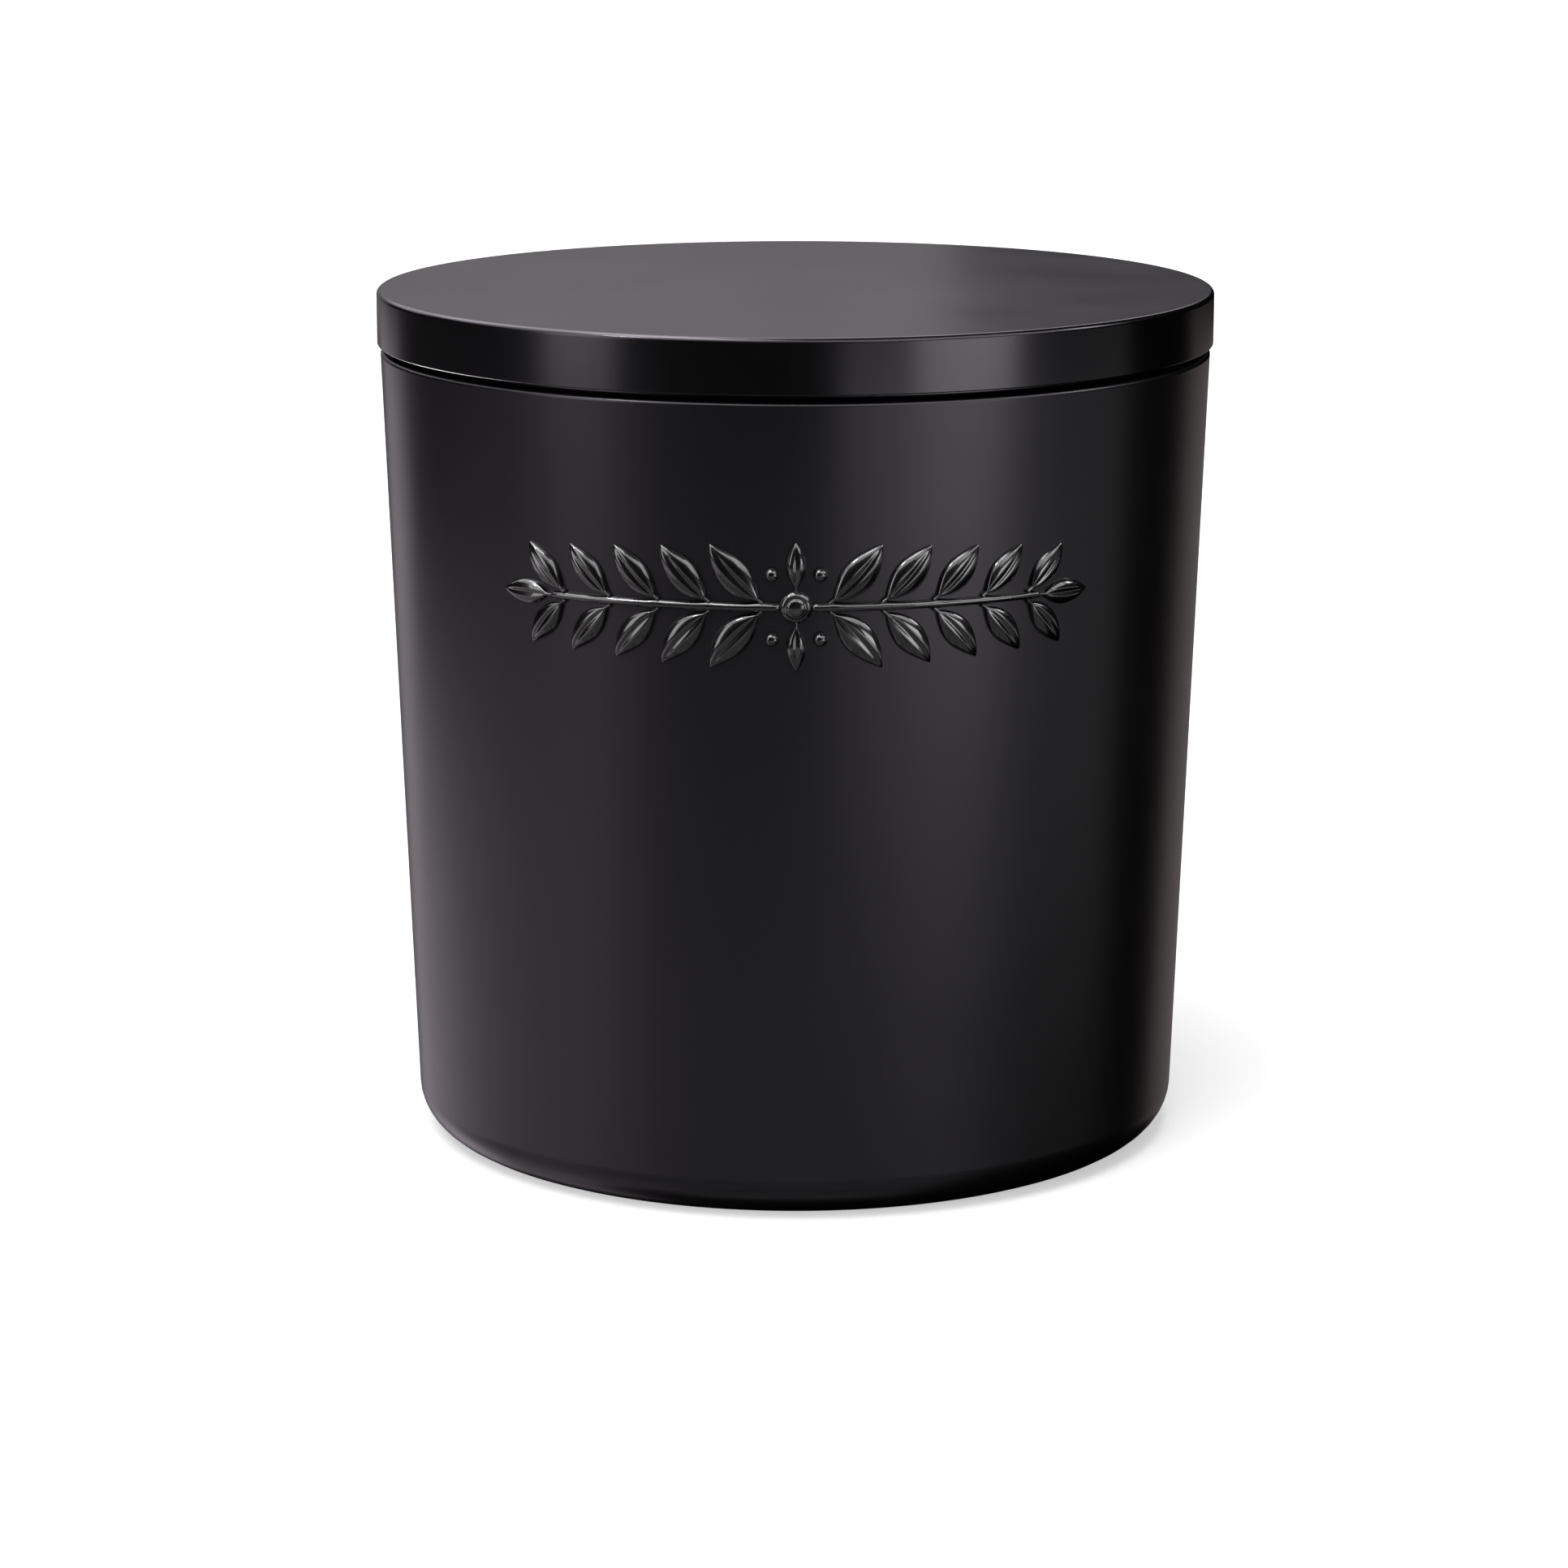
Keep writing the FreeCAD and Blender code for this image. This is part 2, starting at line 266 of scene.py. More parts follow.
def wick_cotton():
    """Braided cotton dipped in wax: fine fibres along each strand."""
    s = Shader("wick_cotton", (0.90, 0.87, 0.80), 0.7)
    s.set("Subsurface Weight", 0.2)
    s.set("Subsurface Radius", (1.0, 0.8, 0.6))
    s.set("Subsurface Scale", 0.4 * MM)
    fibres = s.noise(0.09, detail=3, stretch=(1, 1, 5))
    soak = s.noise(1.5, detail=2)
    s.join(s.ramp(soak, (0.3, (0.94, 0.92, 0.87)), (0.7, (0.86, 0.82, 0.73))), "Base Color")
    s.join(s.remap(soak, 0.75, 0.5), "Roughness")
    s.join(s.bump(fibres, 0.02), "Normal")
    return s.material


def liner_foam():
    """White closed-cell foam with its skin of small cells."""
    s = Shader("liner_foam", (0.80, 0.80, 0.78), 0.62)
    cells = s.add(
        "ShaderNodeTexVoronoi", {"Vector": s.place}, {"Scale": 1 / (0.6 * MM)}, feature="SMOOTH_F1"
    ).outputs["Distance"]
    clouds = s.noise(5)
    s.join(s.ramp(clouds, (0.3, (0.76, 0.76, 0.74)), (0.7, (0.84, 0.84, 0.82))), "Base Color")
    s.join(s.bump(cells, 0.04), "Normal")
    return s.material


def clip_steel():
    """Tinned steel with fine rolling marks."""
    s = Shader("clip_steel", (0.60, 0.60, 0.62), 0.32, metallic=1.0)
    rolling = s.noise(0.15, detail=3, stretch=(20, 1, 1))
    s.join(s.remap(rolling, 0.25, 0.42), "Roughness")
    s.join(s.bump(rolling, 0.002), "Normal")
    return s.material


def pad_foam():
    """Double-sided adhesive foam."""
    s = Shader("pad_foam", (0.85, 0.85, 0.83), 0.8)
    cells = s.noise(0.3, detail=3)
    s.join(s.ramp(cells, (0.3, (0.78, 0.78, 0.76)), (0.7, (0.88, 0.88, 0.86))), "Base Color")
    s.join(s.bump(cells, 0.05), "Normal")
    return s.material


def label_paper():
    """Plain uncoated paper with its fibres."""
    s = Shader("label_paper", (0.84, 0.83, 0.80), 0.85)
    fibres = s.noise(0.35, detail=5, stretch=(3, 1, 1))
    s.join(s.ramp(fibres, (0.3, (0.80, 0.79, 0.76)), (0.7, (0.87, 0.86, 0.83))), "Base Color")
    s.join(s.bump(fibres, 0.012), "Normal")
    return s.material


# ---- outlines ----------------------------------------------------------------------------

# An outline is a list of stretches, (start, end, normal at start, normal at end), in
# (radius, height). It starts and ends on the axis and has the solid on its left.


def unit(v):
    return v / np.linalg.norm(v)


def left_of(v):
    return np.array([-v[1], v[0]])


def turn_at(before, corner, after):
    """Directions in and out of a corner, and the angle turned there, positive to the left."""
    ahead = unit(corner - before)
    away = unit(after - corner)
    turned = math.atan2(ahead[0] * away[1] - ahead[1] * away[0], float(ahead @ away))
    return ahead, away, turned


def straight(start, end):
    normal = -left_of(unit(end - start))
    return (start, end, normal, normal)


def arc(start, ahead, bend, turned):
    """Stretches of the arc that leaves start in the direction ahead and turns by turned."""
    centre = start + left_of(ahead) * bend * math.copysign(1, turned)
    steps = max(2, math.ceil(ARC_STEPS * abs(turned) / (math.pi / 2)))
    stretches = []
    here, facing = start, -left_of(ahead)
    for k in range(1, steps + 1):
        angle = turned * k / steps
        spin = np.array([[math.cos(angle), -math.sin(angle)], [math.sin(angle), math.cos(angle)]])
        there = centre + spin @ (start - centre)
        stretches.append((here, there, facing, -left_of(spin @ ahead)))
        here, facing = there, -left_of(spin @ ahead)
    return stretches


def rounded_path(corners):
    """Stretches along corners of (radius, height, fillet)."""
    points = [np.array(corner[:2], float) for corner in corners]
    stretches = []
    here = points[0]
    for i in range(1, len(points) - 1):
        ahead, _, turned = turn_at(points[i - 1], points[i], points[i + 1])
        fillet = corners[i][2]
        start = points[i] - ahead * fillet * math.tan(abs(turned) / 2)
        if np.linalg.norm(start - here) > 1e-6:
            stretches.append(straight(here, start))
        here = start
        if fillet > 0:
            stretches += arc(start, ahead, fillet, turned)
            here = stretches[-1][1]
    if np.linalg.norm(points[-1] - here) > 1e-6:
        stretches.append(straight(here, points[-1]))
    return stretches


def shifted(corners, distance):
    """The corners moved sideways by distance, to the left where that is positive."""
    points = [np.array(corner[:2], float) for corner in corners]
    moved = []
    for i, corner in enumerate(corners):
        if i in (0, len(corners) - 1):
            first = min(i, len(corners) - 2)
            spot = points[i] + left_of(unit(points[first + 1] - points[first])) * distance
            moved.append((*spot, 0))
            continue
        ahead, _, turned = turn_at(points[i - 1], points[i], points[i + 1])
        spot = points[i] + (left_of(ahead) - ahead * math.tan(turned / 2)) * distance
        moved.append((*spot, max(0.0, corner[2] - math.copysign(1, turned) * distance)))
    return moved


def backwards(stretches):
    """The same stretches walked the other way, with the solid on the other side."""
    return [(end, start, -at_end, -at_start) for start, end, at_start, at_end in reversed(stretches)]


def in_steps(stretches, longest):
    """Straight stretches cut into equal ones, none longer than longest."""
    cut = []
    for start, end, at_start, at_end in stretches:
        count = max(1, math.ceil(np.linalg.norm(end - start) / longest))
        marks = [start + (end - start) * k / count for k in range(count + 1)]
        cut += [(marks[k], marks[k + 1], at_start, at_end) for k in range(count)]
    return cut


# ---- meshes ------------------------------------------------------------------------------


def new_piece(name, vertices, faces, materials, body, nodes):
    """A mesh piece from millimetre vertices that rides on body and stands for CAD nodes."""
    mesh = bpy.data.meshes.new(name)
    mesh.from_pydata((np.asarray(vertices) * MM).tolist(), [], faces)
    for material in materials:
        mesh.materials.append(material)
    mesh.shade_smooth()
    piece = bpy.data.objects.new(name, mesh)
    bpy.context.scene.collection.objects.link(piece)
    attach(piece, body)
    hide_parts(*nodes)
    return piece


def lathe(name, stretches, materials, finishes, body, nodes):
    """An outline spun around Z. finishes gives each stretch's index into materials."""
    angles = np.linspace(0, 2 * math.pi, TURNS, endpoint=False)
    around = np.stack([np.cos(angles), np.sin(angles)], axis=1)
    vertices, rings = [], []
    for point in [stretches[0][0]] + [stretch[1] for stretch in stretches]:
        on_axis = point[0] < 1e-6
        first = len(vertices)
        if on_axis:
            vertices.append((0, 0, point[1]))
            rings.append([first] * TURNS)
        else:
            vertices += [(x * point[0], y * point[0], point[1]) for x, y in around]
            rings.append(list(range(first, first + TURNS)))
    faces, normals, marks = [], [], []
    for i, (_, _, at_start, at_end) in enumerate(stretches):
        low, high = rings[i], rings[i + 1]
        for k in range(TURNS):
            n = (k + 1) % TURNS
            corners = [
                (low[k], at_start, k),
                (low[n], at_start, n),
                (high[n], at_end, n),
                (high[k], at_end, k),
            ]
            if low[k] == low[n]:
                corners.pop(0)
            elif high[k] == high[n]:
                corners.pop(2)
            faces.append([corner[0] for corner in corners])
            normals += [(around[a][0] * v[0], around[a][1] * v[0], v[1]) for _, v, a in corners]
            marks.append(finishes[i])
    piece = new_piece(name, vertices, faces, materials, body, nodes)
    piece.data.polygons.foreach_set("material_index", marks)
    piece.data.normals_split_custom_set(normals)
    return piece


def loft(rings):
    """Vertices and faces of a closed skin through rings of points, with its ends capped."""
    count = len(rings[0])
    vertices = [point for ring in rings for point in ring]
    faces = []
    for i in range(len(rings) - 1):
        for k in range(count):
            n = (k + 1) % count
            faces.append([i * count + k, i * count + n, (i + 1) * count + n, (i + 1) * count + k])
    faces.append(list(range(count))[::-1])
    faces.append(list(range((len(rings) - 1) * count, len(rings) * count)))
    return vertices, faces


def gathered(shapes):
    """Several (vertices, faces) as one."""
    vertices, faces = [], []
    for more_vertices, more_faces in shapes:
        shift = len(vertices)
        vertices += list(more_vertices)
        faces += [[i + shift for i in face] for face in more_faces]
    return vertices, faces


# ---- tin and lid -------------------------------------------------------------------------


def base_and_wall():
    """Corners of the outer surface, from the axis under the panel to the shoulder."""
    return [
        (0, PANEL_HEIGHT, 0),
        (PANEL_RADIUS, PANEL_HEIGHT, PANEL_FILLET),
        (RING_INNER_RADIUS, 0, PANEL_FILLET),
        (FOOT_RADIUS, 0, FOOT_FILLET),
        (SHOULDER_RADIUS, SHOULDER_HEIGHT, SHOULDER_FILLET),
    ]


def tin_shell(coat, metal):
    """The drawn cup, coated outside and bare inside, so that its curled rim is bare too."""
    curl_axis = RIM_TOP - RIM_CURL_RADIUS
    curl_far = NECK_RADIUS + 2 * CURL_BEND
    corners = base_and_wall() + [
        (NECK_RADIUS, SHOULDER_HEIGHT, NECK_FILLET),
        (NECK_RADIUS, curl_axis + CURL_BEND, CURL_BEND),
        (curl_far, curl_axis + CURL_BEND, CURL_BEND),
        (curl_far, curl_axis - CURL_BEND, CURL_BEND),
        (NECK_RADIUS + CURL_BEND, curl_axis - CURL_BEND, 0),
    ]
    outside = rounded_path(corners)
    inside = backwards(rounded_path(shifted(corners, SHEET)))
    edge = straight(outside[-1][1], inside[0][0])
    finishes = [0] * len(outside) + [1] * (len(inside) + 1)
    lathe(
        "tin", outside + [edge] + inside, [coat, metal], finishes,
        "vessel", ["tin_shell"],
    )


def lid_shell(coat, metal):
    """The stamped lid: flat top, straight skirt and a softened edge, bare on the inside."""
    above_edge = LID_EDGE + SHEET
    bore = LID_RADIUS - SHEET
    corners = [(LID_RADIUS, above_edge, 0), (LID_RADIUS, TOP, LID_TOP_FILLET), (0, TOP, 0)]
    outside = rounded_path(corners)
    inside = backwards(rounded_path(shifted(corners, SHEET)))
    edge = rounded_path([
        (bore, above_edge, 0),
        (bore, LID_EDGE, LID_EDGE_ROUND),
        (LID_RADIUS, LID_EDGE, LID_EDGE_ROUND),
        (LID_RADIUS, above_edge, 0),
    ])
    finishes = [1] * len(inside) + [0] * (len(edge) + len(outside))
    lathe(
        "lid", inside + edge + outside, [coat, metal], finishes,
        "lid", ["lid_shell"],
    )


def lid_liner(foam):
    """Foam disc with a soft edge and the groove that the rim has pressed into it."""
    groove_radius = NECK_RADIUS + CURL_BEND
    groove_width, groove_depth, half_slope = 1.5, 0.14, 0.3
    inner_round, outer_round = 0.4, 0.2
    bevel, bevel_rise, bevel_round, top_round = 0.15, 0.02, 0.1, 0.25
    low, high, far = LINER_LOW.z, LINER_HIGH.z, LINER_HIGH.x
    inner = groove_radius - groove_width / 2
    outer = groove_radius + groove_width / 2
    corners = [
        (0, low, 0),
        (inner - half_slope, low, inner_round),
        (inner + half_slope, low + groove_depth, inner_round),
        (outer - half_slope, low + groove_depth, outer_round),
        (far - bevel, low + bevel_rise, bevel_round),
        (far, low + bevel, bevel_round),
        (far, high, top_round),
        (0, high, 0),
    ]
    outline = rounded_path(corners)
    lathe("liner", outline, [foam], [0] * len(outline), "lid", ["lid_liner"])


# ---- candle ------------------------------------------------------------------------------


def wick_axes():
    """Centre (x, y) of each wick, in millimetres."""
    centres = []
    for side in ("left", "right"):
        low, high = millimetres("wick_" + side)
        centres.append(((low.x + high.x) / 2, (low.y + high.y) / 2))
    return centres


def wax_swell(x, y, wicks):
    """How far the set wax stands above its level: it climbs the wicks and dips around them."""
    wide_wave, short_wave = 0.035, 0.02
    climb, climb_from, climb_fade = 0.75, 1.1, 0.55
    dip, dip_radius, dip_width = 0.16, 4.5, 3.0
    swell = wide_wave * math.sin(0.21 * x + 0.6) * math.cos(0.17 * y - 0.4)
    swell += short_wave * math.sin(0.47 * x - 0.31 * y)
    for wick_x, wick_y in wicks:
        away = math.hypot(x - wick_x, y - wick_y)
        swell += climb * math.exp(-max(0.0, away - climb_from) / climb_fade)
        swell -= dip * math.exp(-(((away - dip_radius) / dip_width) ** 2))
    return swell


def wax_fill(wax, wicks):
    """The candle, from the base panel up to its gently uneven top."""
    ring_step, top_depth = 0.42, 0.01
    lining = shifted(base_and_wall(), SHEET)[:-1]
    crest_height = WAX_LEVEL + MENISCUS_RISE
    crest = (wall_radius(crest_height) - SHEET / math.cos(WALL_DRAFT), crest_height, 0)
    bend = (MENISCUS_REACH ** 2 + MENISCUS_RISE ** 2) / (2 * MENISCUS_RISE)
    turned = -math.asin(MENISCUS_REACH / bend)
    side = rounded_path(lining + [crest])
    ahead = np.array([-math.cos(turned), math.sin(turned)])
    meniscus = arc(side[-1][1], ahead, bend, turned)
    calm = in_steps([straight(meniscus[-1][1], np.array([0.0, WAX_LEVEL]))], ring_step)
    outline = side + meniscus + calm
    piece = lathe("wax", outline, [wax], [0] * len(outline), "vessel", ["wax_fill"])
    fade_from = crest[0] - MENISCUS_REACH
    for vertex in piece.data.vertices:
        x, y, z = vertex.co / MM
        if z > WAX_LEVEL - top_depth:
            fade = 1 - min(1.0, max(0.0, (math.hypot(x, y) - fade_from) / MENISCUS_REACH))
            vertex.co.z += wax_swell(x, y, wicks) * fade * MM
    # A zero normal leaves the shading to the moved surface.
    piece.data.normals_split_custom_set([(0.0, 0.0, 0.0)] * len(piece.data.loops))


def strand(centre, top, foot, phase, hand):
    """One plait of the braid: a tube that winds around the wick and weaves in and out."""
    reach, weave, thickness, pitch = 0.84, 0.11, 0.29, 5.6
    flatness, breadth = 0.8, 1.15
    tip_share, tip_rise = 0.6, 0.12
    weaves_per_turn, steps_per_turn, ring_count = 4, 22, 8
    turns = (top - foot) / pitch
    rings = []
    for i in range(math.ceil(turns * steps_per_turn) + 1):
        height = min(top, foot + pitch * i / steps_per_turn)
        angle = phase + hand * 2 * math.pi * (height - foot) / pitch
        weaving = weaves_per_turn * (angle + hand * phase) + hand * math.pi / 2
        radius = reach + weave * math.sin(weaving)
        out = np.array([math.cos(angle), math.sin(angle), 0])
        rise = pitch / (2 * math.pi * reach)
        along = unit(np.array([-hand * math.sin(angle), hand * math.cos(angle), rise]))
        across = np.cross(along, out)
        middle = np.array([centre[0], centre[1], height]) + out * radius
        ring = []
        for k in range(ring_count):
            a = 2 * math.pi * k / ring_count
            lean = flatness * math.cos(a) * out + breadth * math.sin(a) * across
            ring.append(middle + thickness * lean)
        rings.append(ring)
    end = np.mean(rings[-1], axis=0)
    lift = np.array([0, 0, tip_rise])
    rings.append([end + tip_share * (point - end) + lift for point in rings[-1]])
    return loft(rings)


def round_bar(centre, radius, low, high):
    """A plain round bar with a softened top."""
    steps, round_top = 24, 0.3
    levels = [
        (low, radius),
        (high - round_top, radius),
        (high - 0.3 * round_top, 0.8 * radius),
        (high, 0.4 * radius),
    ]
    rings = []
    for height, reach in levels:
        ring = []
        for k in range(steps):
            angle = 2 * math.pi * k / steps
            x = centre[0] + reach * math.cos(angle)
            y = centre[1] + reach * math.sin(angle)
            ring.append(np.array([x, y, height]))
        rings.append(ring)
    return loft(rings)


def wick(side, centre, cotton):
    """Braided wick: eight plaits over a core where it shows, and a plain bar in the wax."""
    core_radius, bar_radius = 0.78, 1.1
    braid_depth, tip_room, core_drop = 4, 0.15, 0.1
    low, high = millimetres("wick_" + side)
    braid_foot = WAX_LEVEL - braid_depth
    tip = high.z - tip_room
    shapes = [
        round_bar(centre, core_radius, low.z, tip - core_drop),
        round_bar(centre, bar_radius, low.z, braid_foot),
    ]
    for k in range(4):
        shapes.append(strand(centre, tip, braid_foot, k * math.pi / 2, 1))
        shapes.append(strand(centre, tip, braid_foot, k * math.pi / 2 + math.pi / 4, -1))
    vertices, faces = gathered(shapes)
    new_piece(
        "braided_wick_" + side, vertices, faces, [cotton], "vessel", ["wick_" + side]
    )


# ---- raised sprig ------------------------------------------------------------------------

RELIEF_CENTRE = (STEM_LOW.z + STEM_HIGH.z) / 2
RELIEF_RISE = 0.85
STEM_HALF_HEIGHT = (STEM_HIGH.z - STEM_LOW.z) / 2
STEM_HALF_SPAN = math.radians(34.2)
LEAF_PAIRS = 5
LEAF_FIRST = math.radians(4.9)
LEAF_PITCH = math.radians(6.9)
LEAF_TILT = math.radians(48)
LEAF_LENGTH = 7.4
LEAF_END_SHRINK = 0.2
LEAF_WIDTH_RATIO = 0.45
LEAF_BOW = 0.16
PLUME_LENGTH = 4.6
STEM_GAP = 0.35
STALK_LENGTH = 0.55
STALK_HALF_WIDTH = 0.24
BUD_RADIUS = 1.7
BERRY_RADIUS = 0.75
BERRY_SIDEWAYS = 2.45
BERRY_LIFT = 3.3
SUNK = -0.06


def on_wall(azimuth, sideways, height, rise):
    """The point at a rise above the wall, from a spot on the flat sheet held at that azimuth."""
    radius = wall_radius(height) + rise
    depth = -math.sqrt(radius ** 2 - sideways ** 2)
    c, s = math.cos(azimuth), math.sin(azimuth)
    return np.array([sideways * c - depth * s, sideways * s + depth * c, height])


def raised(azimuth, foot, tilt, length, half_width, rise, bow=0.0, steps=40, across=36):
    """A raised shape along a line from foot, in the flat sheet held at an azimuth.

    half_width(s) is in millimetres and rise(s, t) is a share of RELIEF_RISE, where s runs from
    0 at the foot to 1 at the tip and t from -1 to 1 across. bow bends the line to its left.
    """
    ahead = np.array([math.cos(tilt), math.sin(tilt)])
    left = np.array([-math.sin(tilt), math.cos(tilt)])
    rings = []
    for i in range(steps + 1):
        s = 0.5 - 0.5 * math.cos(math.pi * i / steps)
        heading = tilt + bow * (2 * s - 1)
        side = np.array([-math.sin(heading), math.cos(heading)])
        middle = np.array(foot) + length * (ahead * s + left * bow * (s * s - s))
        width = max(0.02, half_width(s))
        ring = []
        for k in range(across + 1):
            t = -math.cos(math.pi * k / across)
            spot = middle + side * width * t
            ring.append(on_wall(azimuth, spot[0], spot[1], RELIEF_RISE * rise(s, t)))
        for t in (1, -1):
            spot = middle + side * width * t
            ring.append(on_wall(azimuth, spot[0], spot[1], SUNK))
        rings.append(ring)
    return loft(rings)


def pillow(t, fullness=2.8):
    """Rise across a raised shape: flat on top and steep at its edges."""
    return max(0.0, 1 - abs(t) ** fullness) ** 0.5


def leaf(azimuth, lift, tilt, length, bow=0.0):
    """A pointed leaf on a short stalk, with a groove along its middle."""
    foot_lean, tip_point = 0.9, 0.85
    end_rise, crown_rise, end_fullness = 0.68, 0.32, 9
    groove_depth, groove_width = 0.15, 0.24
    whole = length + STALK_LENGTH
    foot = (-STALK_LENGTH * math.cos(tilt), RELIEF_CENTRE + lift - STALK_LENGTH * math.sin(tilt))

    def half_width(s):
        along = max(0.0, s * whole - STALK_LENGTH) / length
        bulge = max(0.0, math.sin(math.pi * along ** foot_lean)) ** tip_point
        blade = LEAF_WIDTH_RATIO * length / 2 * bulge
        return math.hypot(blade, STALK_HALF_WIDTH * (1 - s) ** 2)

    def rise(s, t):
        spine = (end_rise + crown_rise * math.sin(math.pi * s)) * pillow(s, end_fullness)
        groove = groove_depth * math.exp(-((t * half_width(s) / groove_width) ** 2))
        return spine * (pillow(t) - groove * math.sin(math.pi * s) ** 0.5)

    return raised(azimuth, foot, tilt, whole, half_width, rise, bow)


def sprig_leaves(enamel):
    """Pairs of leaves along both stems, a leaf at each end and two plumes in the middle."""
    lift = STEM_HALF_HEIGHT + STEM_GAP
    end_azimuth = STEM_HALF_SPAN + STEM_GAP / wall_radius(RELIEF_CENTRE)
    end_length = LEAF_LENGTH * (1 - LEAF_END_SHRINK)
    shapes = []
    for side in (1, -1):
        out_tilt = math.pi / 2 - side * (math.pi / 2 - LEAF_TILT)
        for pair in range(LEAF_PAIRS):
            azimuth = side * (LEAF_FIRST + LEAF_PITCH * pair)
            length = LEAF_LENGTH * (1 - LEAF_END_SHRINK * pair / (LEAF_PAIRS - 1))
            for above in (1, -1):
                bow = LEAF_BOW * side * above
                shapes.append(leaf(azimuth, above * lift, above * out_tilt, length, bow))
        shapes.append(leaf(side * end_azimuth, 0, math.pi / 2 * (1 - side), end_length))
        shapes.append(leaf(0, side * (BUD_RADIUS + STEM_GAP), side * math.pi / 2, PLUME_LENGTH))
    vertices, faces = gathered(shapes)
    new_piece(
        "sprig_leaves", vertices, faces, [enamel], "vessel", ["relief_leaves"]
    )


def stem(side):
    """One run of stem, from inside the bud, a little thicker at each pair of leaves."""
    steps, across = 200, 14
    overlap, knot_width, end_fullness, top_fullness = 0.2, 0.016, 60, 2.4
    height_share, thinning, knot_share = 0.98, 0.22, 0.14
    rise_share, sinking = 0.82, 0.12
    start = (BUD_RADIUS - overlap) / wall_radius(RELIEF_CENTRE)
    joints = [LEAF_FIRST + LEAF_PITCH * pair for pair in range(LEAF_PAIRS)]
    rings = []
    for i in range(steps + 1):
        s = i / steps
        azimuth = start + (STEM_HALF_SPAN - start) * s
        knots = sum(math.exp(-(((azimuth - joint) / knot_width) ** 2)) for joint in joints)
        taper = pillow(2 * s - 1, end_fullness)
        half = STEM_HALF_HEIGHT * (height_share - thinning * s + knot_share * knots) * taper
        ring = []
        for k in range(across + 1):
            t = -math.cos(math.pi * k / across)
            lift = RELIEF_RISE * (rise_share - sinking * s) * pillow(t, top_fullness) * taper
            ring.append(on_wall(side * azimuth, 0, RELIEF_CENTRE + half * t, lift))
        for t in (1, -1):
            ring.append(on_wall(side * azimuth, 0, RELIEF_CENTRE + half * t, SUNK))
        rings.append(ring)
    return loft(rings)


def sprig_stems(enamel):
    vertices, faces = gathered([stem(1), stem(-1)])
    new_piece(
        "sprig_stems", vertices, faces, [enamel], "vessel", ["relief_stems"]
    )


def dome(sideways, lift, radius, ring_depth, steps):
    """A round drop of enamel with a shallow ring around its crown."""
    ring_radius, ring_width = 0.58, 0.09

    def half_width(s):
        return radius * math.sqrt(max(0.0, 1 - (2 * s - 1) ** 2))

    def rise(s, t):
        away = math.hypot(2 * s - 1, t * half_width(s) / radius)
        ring = ring_depth * math.exp(-(((away - ring_radius) / ring_width) ** 2))
        return pillow(min(1.0, away)) - ring

    foot = (sideways - radius, RELIEF_CENTRE + lift)
    return raised(0, foot, 0, 2 * radius, half_width, rise, steps=steps, across=steps)


def sprig_berries(enamel):
    """The round bud in the middle and the four berries around it."""
    shapes = [dome(0, 0, BUD_RADIUS, 0.2, 40)]
    for side in (1, -1):
        for above in (1, -1):
            shapes.append(dome(side * BERRY_SIDEWAYS, above * BERRY_LIFT, BERRY_RADIUS, 0, 24))
    vertices, faces = gathered(shapes)
    new_piece(
        "sprig_berries", vertices, faces, [enamel], "vessel",
        ["relief_berries"],
    )


# ---- pieces ------------------------------------------------------------------------------

wall_coat = satin_black_coat("satin_black_coat", 0.3, 0.0014)
lid_coat = satin_black_coat("smooth_black_coat", 0.22, 0.0006)
enamel = gloss_black_enamel()
metal = bare_metal()
cotton = wick_cotton()
wicks = wick_axes()

tin_shell(wall_coat, metal)
lid_shell(lid_coat, metal)
lid_liner(liner_foam())
wax_fill(candle_wax(), wicks)
for side, centre in zip(("left", "right"), wicks):
    wick(side, centre, cotton)
sprig_leaves(enamel)
sprig_stems(enamel)
sprig_berries(enamel)

kept = {"base_label": label_paper()}
for side in ("left", "right"):
    kept["wick_clip_" + side] = clip_steel()
    kept["wick_pad_" + side] = pad_foam()
for name, material in kept.items():
    node = frame["nodes"][name]
    node.data.materials.clear()
    node.data.materials.append(material)


# ---- studio ------------------------------------------------------------------------------


def floor():
    """White floor past the edge of every view. It shows in no reflection and blocks no light."""
    bpy.ops.mesh.primitive_circle_add(vertices=96, radius=8.0, fill_type="NGON")
    piece = bpy.context.object
    piece.name = "floor"
    s = Shader("floor_paper", (0.86, 0.86, 0.86), 0.9, specular=0.0)
    s.set("Emission Color", (1, 1, 1, 1))
    s.set("Emission Strength", 0.5)
    piece.data.materials.append(s.material)
    piece.visible_glossy = False
    piece.visible_diffuse = False
    piece.visible_shadow = False


def aimed(light, azimuth, elevation, distance):
    """Puts a light at an azimuth and elevation, in degrees, facing the middle of the tin.

    Azimuth 0 is the front, and it grows towards +X.
    """
    a, e = math.radians(azimuth), math.radians(elevation)
    back = Vector((math.sin(a) * math.cos(e), -math.cos(a) * math.cos(e), math.sin(e)))
    light.location = Vector((0, 0, 0.5 * TOP * MM)) + back * distance
    light.rotation_mode = "QUATERNION"
    light.rotation_quaternion = back.to_track_quat("Z", "Y")
    light.visible_camera = False
    bpy.context.scene.collection.objects.link(light)


def skylight(azimuth, elevation, spread, strength):
    """Wide even light for the floor, the wax and the wicks, which shows in no reflection."""
    data = bpy.data.lights.new("skylight", "SUN")
    data.angle = math.radians(spread)
    data.energy = strength
    light = bpy.data.objects.new("skylight", data)
    light.visible_glossy = False
    aimed(light, azimuth, elevation, 3.0)


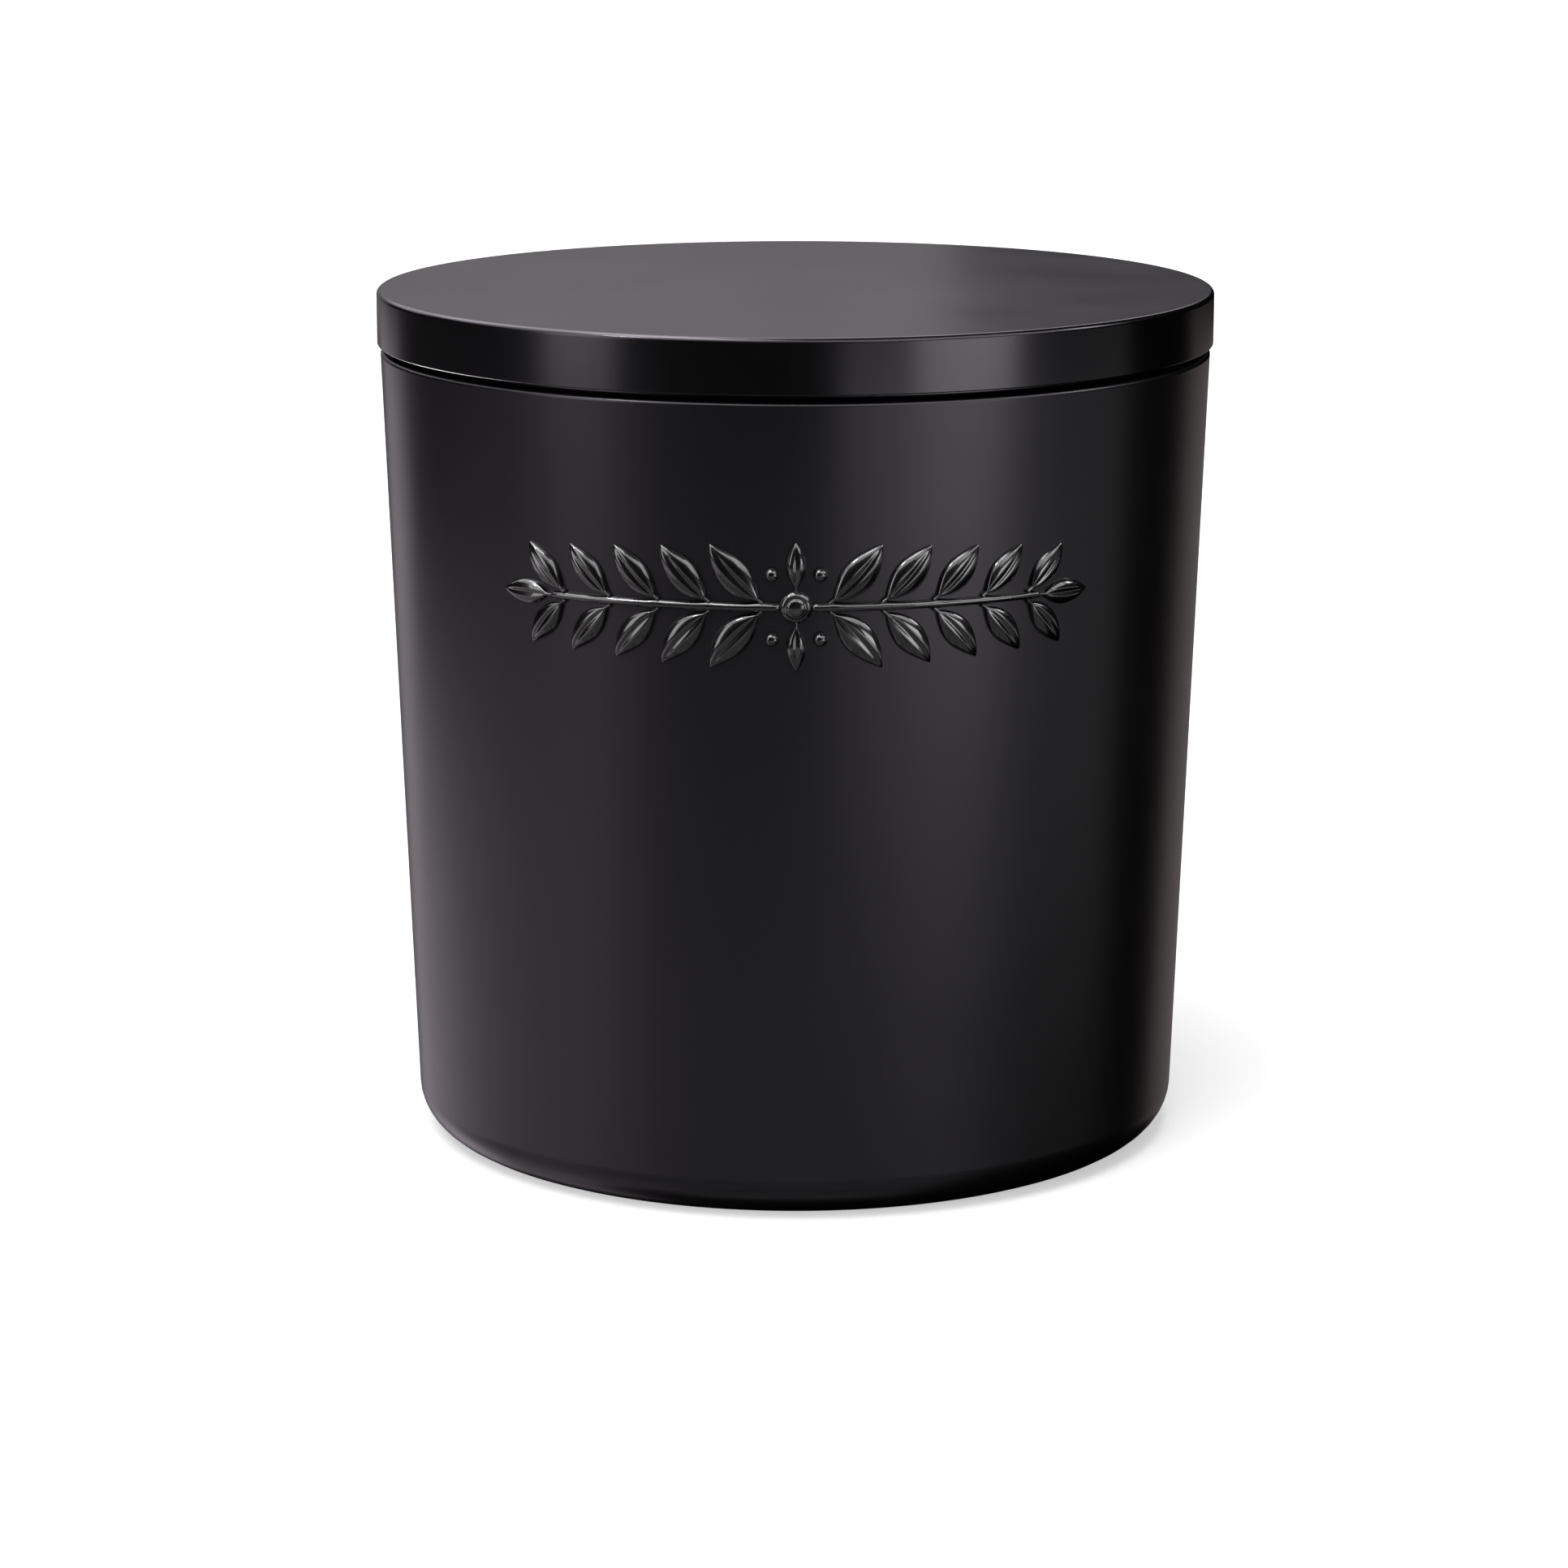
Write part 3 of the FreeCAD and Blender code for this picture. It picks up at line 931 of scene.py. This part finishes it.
def light_bank(name, azimuths, elevations, radiance, color=(1, 1, 1), lit=None):
    """Soft panels a metre from the tin that fill a range of azimuths and elevations.

    They make the reflections, and the skylights do the rest. A low bank shines up through the
    floor, which casts no shadow, as light off a table does. lit is a collection, where the bank
    is to shine on the pieces in it alone.
    """
    widest, distance = 45, 1.0
    columns = math.ceil((azimuths[1] - azimuths[0]) / widest)
    rows = math.ceil((elevations[1] - elevations[0]) / widest)
    step_across = (azimuths[1] - azimuths[0]) / columns
    step_up = (elevations[1] - elevations[0]) / rows
    for column in range(columns):
        for row in range(rows):
            azimuth = azimuths[0] + (column + 0.5) * step_across
            elevation = elevations[0] + (row + 0.5) * step_up
            data = bpy.data.lights.new(name, "AREA")
            data.shape = "RECTANGLE"
            narrowed = math.cos(math.radians(elevation))
            data.size = 2 * math.tan(math.radians(step_across / 2)) * distance * narrowed
            data.size_y = 2 * math.tan(math.radians(step_up / 2)) * distance
            data.energy = math.pi * data.size * data.size_y * radiance
            data.color = color
            panel = bpy.data.objects.new(name, data)
            panel.visible_diffuse = False
            panel.light_linking.receiver_collection = lit
            aimed(panel, azimuth, elevation, distance)


def world():
    """White to the camera and black to everything else."""
    made = bpy.data.worlds.new("studio")
    bpy.context.scene.world = made
    made.use_nodes = True
    tree = made.node_tree
    background = tree.nodes["Background"]
    background.inputs["Color"].default_value = (1, 1, 1, 1)
    path = tree.nodes.new("ShaderNodeLightPath")
    tree.links.new(path.outputs["Is Camera Ray"], background.inputs["Strength"])


def camera():
    """In front, a little above, and looking slightly down on the tin."""
    looking_down = 12.65
    data = bpy.data.cameras.new("camera")
    data.sensor_width = 36
    data.lens = 109.1
    piece = bpy.data.objects.new("camera", data)
    piece.location = (-0.00121, -0.5113, 0.1519)
    piece.rotation_euler = (math.radians(90 - looking_down), 0, 0)
    bpy.context.scene.collection.objects.link(piece)
    bpy.context.scene.camera = piece


LILAC = (0.99, 0.95, 1.0)
MAUVE = (1.0, 0.90, 0.98)
WARM = (1.0, 0.88, 0.86)

floor()
world()
camera()
skylight(-50, 74, 50, 2.2)
skylight(-20, 32, 60, 1.3)
skylight(160, 32, 60, 0.7)
light_bank("back_top", (-180, -125), (18, 34), 1.35, LILAC)
light_bank("back_top_right", (-198, -180), (18, 34), 1.5, LILAC)
light_bank("back_overhead", (-198, -165), (34, 60), 2.0, LILAC)
light_bank("left_back_high", (-165, -125), (34, 60), 3.4, LILAC)
light_bank("back", (177, 214), (-5, 20), 0.21, LILAC)
light_bank("overhead", (-160, -10), (58, 78), 8.0)
light_bank("front_top", (-130, 12), (30, 58), 2.0)
light_bank("right_front_high", (12, 79), (20, 58), 2.6)
light_bank("right_front", (32, 60), (-5, 6), 4.8)
light_bank("right_front_low", (12, 57), (-15, -5), 1.7)
light_bank("right_low", (57, 100), (-18, -5), 0.45)
light_bank("left_front", (-70, -48), (-5, 30), 2.9)
light_bank("left_front_low", (-45, 12), (-25, -13), 0.42)
light_bank("left_low", (-135, -45), (-25, -13), 0.88, MAUVE)
light_bank("left_back_low", (-158, -135), (-40, -5), 0.75, MAUVE)
light_bank("left_below", (-150, -60), (-62, -25), 0.42, MAUVE)
light_bank("front_below", (-60, 55), (-75, -25), 0.24)
light_bank("right_back_low", (135, 169), (-25, -5), 0.28, WARM)
light_bank("key", (-64, -56), (46, 54), 60.0)
light_bank("kicker", (84, 98), (24, 40), 9.0)

lid_alone = bpy.data.collections.new("lid_alone")
lid_alone.objects.link(bpy.data.objects["lid"])
light_bank("lid_edge_low", (-178, -118), (-44, -23), 14.0, lit=lid_alone)

bpy.context.scene.view_settings.view_transform = "Standard"
